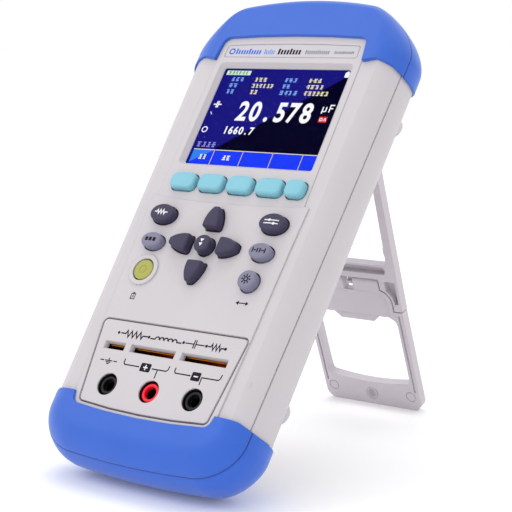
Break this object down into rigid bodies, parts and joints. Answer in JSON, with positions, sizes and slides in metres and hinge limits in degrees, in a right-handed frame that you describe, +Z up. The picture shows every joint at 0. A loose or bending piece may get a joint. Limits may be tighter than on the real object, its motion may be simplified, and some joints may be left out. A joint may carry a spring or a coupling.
{
  "type": "handheld lcr meter",
  "caption": "Handheld component meter with colour display, keypad, lead slots and 4 mm sockets, leaning back on its two-leaf folding stand.",
  "frame": {"origin": "middle of the part's footprint on the desk", "axes": "+Z up, the front panel faces -Y and leans back 36 degrees, +X to the right of somebody who reads the display"},
  "size_m": [0.0978, 0.1622, 0.1675],
  "materials": {
    "case_plastic": "fine satin texture",
    "bumper": "soft satin blue",
    "plate": "satin",
    "window": "polished",
    "frame_plastic": "moulded",
    "display": "lit",
    "mat": "silicone",
    "board": "solder resist",
    "tinned_steel": "tinned",
    "chip": "moulded",
    "battery_wrap": "shrink wrap",
    "zinc_steel": "zinc plated",
    "terminal_plastic": "moulded",
    "contact_brass": "plated",
    "dark_insulator": "moulded",
    "red_insulator": "moulded",
    "stand_plastic": "fine satin texture",
    "soft_key": "translucent satin",
    "power_cap": "satin",
    "grey_key": "satin",
    "dark_key": "satin"
  },
  "bodies": {
    "case": {"front_case": "case_plastic", "rear_case": "case_plastic", "front_top_bumper": "bumper", "rear_top_bumper": "bumper", "front_bottom_bumper": "bumper", "rear_bottom_bumper": "bumper", "name_plate": "plate", "screen_window": "window", "display_frame": "frame_plastic", "display_panel": "display", "keypad_mat": "mat", "main_board": "board", "shield_can": "tinned_steel", "board_chips": "chip", "beeper": "chip", "serial_socket": "tinned_steel", "battery_pack": "battery_wrap", "battery_door": "case_plastic", "case_screws": "zinc_steel", "board_screws": "zinc_steel", "door_screws": "zinc_steel", "terminal_block": "terminal_plastic", "guard_blades": "contact_brass", "high_blades": "contact_brass", "low_blades": "contact_brass", "guard_socket": "dark_insulator", "high_socket": "red_insulator", "low_socket": "dark_insulator", "socket_barrels": "contact_brass", "stand_hinge_pins": "zinc_steel"},
    "stand_frame": {"stand_frame": "stand_plastic", "foot_hinge_pins": "zinc_steel"},
    "stand_foot": {"stand_foot": "stand_plastic"},
    "softkey_1": {"softkey_1": "soft_key"},
    "softkey_2": {"softkey_2": "soft_key"},
    "softkey_3": {"softkey_3": "soft_key"},
    "softkey_4": {"softkey_4": "soft_key"},
    "softkey_5": {"softkey_5": "soft_key"},
    "measure_key": {"measure_key": "dark_key"},
    "system_key": {"system_key": "grey_key"},
    "power_key": {"power_key": "power_cap"},
    "setup_key": {"setup_key": "dark_key"},
    "hold_key": {"hold_key": "grey_key"},
    "light_key": {"light_key": "grey_key"},
    "enter_key": {"enter_key": "dark_key"},
    "up_key": {"up_key": "dark_key"},
    "left_key": {"left_key": "dark_key"},
    "down_key": {"down_key": "dark_key"},
    "right_key": {"right_key": "dark_key"}
  },
  "joints": [
    {"name": "stand_hinge", "type": "hinge", "parent": "case", "child": "stand_frame", "pos_m": [0, 0.0285, 0.12631], "axis": [-1, 0, 0], "range_deg": [0, 58]},
    {"name": "foot_hinge", "type": "hinge", "parent": "stand_frame", "child": "stand_foot", "pos_m": [0, 0.05683, 0.0562], "axis": [1, 0, 0], "range_deg": [0, 20]},
    {"name": "softkey_1_press", "type": "slide", "parent": "case", "child": "softkey_1", "axis": [0, 0.809, -0.5878], "range_m": [0, 0.001], "stiffness_N_per_m": 300, "springref_m": -0.001},
    {"name": "softkey_2_press", "type": "slide", "parent": "case", "child": "softkey_2", "axis": [0, 0.809, -0.5878], "range_m": [0, 0.001], "stiffness_N_per_m": 300, "springref_m": -0.001},
    {"name": "softkey_3_press", "type": "slide", "parent": "case", "child": "softkey_3", "axis": [0, 0.809, -0.5878], "range_m": [0, 0.001], "stiffness_N_per_m": 300, "springref_m": -0.001},
    {"name": "softkey_4_press", "type": "slide", "parent": "case", "child": "softkey_4", "axis": [0, 0.809, -0.5878], "range_m": [0, 0.001], "stiffness_N_per_m": 300, "springref_m": -0.001},
    {"name": "softkey_5_press", "type": "slide", "parent": "case", "child": "softkey_5", "axis": [0, 0.809, -0.5878], "range_m": [0, 0.001], "stiffness_N_per_m": 300, "springref_m": -0.001},
    {"name": "measure_key_press", "type": "slide", "parent": "case", "child": "measure_key", "axis": [0, 0.809, -0.5878], "range_m": [0, 0.001], "stiffness_N_per_m": 300, "springref_m": -0.001},
    {"name": "system_key_press", "type": "slide", "parent": "case", "child": "system_key", "axis": [0, 0.809, -0.5878], "range_m": [0, 0.001], "stiffness_N_per_m": 300, "springref_m": -0.001},
    {"name": "power_key_press", "type": "slide", "parent": "case", "child": "power_key", "axis": [0, 0.809, -0.5878], "range_m": [0, 0.001], "stiffness_N_per_m": 300, "springref_m": -0.001},
    {"name": "setup_key_press", "type": "slide", "parent": "case", "child": "setup_key", "axis": [0, 0.809, -0.5878], "range_m": [0, 0.001], "stiffness_N_per_m": 300, "springref_m": -0.001},
    {"name": "hold_key_press", "type": "slide", "parent": "case", "child": "hold_key", "axis": [0, 0.809, -0.5878], "range_m": [0, 0.001], "stiffness_N_per_m": 300, "springref_m": -0.001},
    {"name": "light_key_press", "type": "slide", "parent": "case", "child": "light_key", "axis": [0, 0.809, -0.5878], "range_m": [0, 0.001], "stiffness_N_per_m": 300, "springref_m": -0.001},
    {"name": "enter_key_press", "type": "slide", "parent": "case", "child": "enter_key", "axis": [0, 0.809, -0.5878], "range_m": [0, 0.001], "stiffness_N_per_m": 300, "springref_m": -0.001},
    {"name": "up_key_press", "type": "slide", "parent": "case", "child": "up_key", "axis": [0, 0.809, -0.5878], "range_m": [0, 0.001], "stiffness_N_per_m": 300, "springref_m": -0.001},
    {"name": "left_key_press", "type": "slide", "parent": "case", "child": "left_key", "axis": [0, 0.809, -0.5878], "range_m": [0, 0.001], "stiffness_N_per_m": 300, "springref_m": -0.001},
    {"name": "down_key_press", "type": "slide", "parent": "case", "child": "down_key", "axis": [0, 0.809, -0.5878], "range_m": [0, 0.001], "stiffness_N_per_m": 300, "springref_m": -0.001},
    {"name": "right_key_press", "type": "slide", "parent": "case", "child": "right_key", "axis": [0, 0.809, -0.5878], "range_m": [0, 0.001], "stiffness_N_per_m": 300, "springref_m": -0.001}
  ]
}
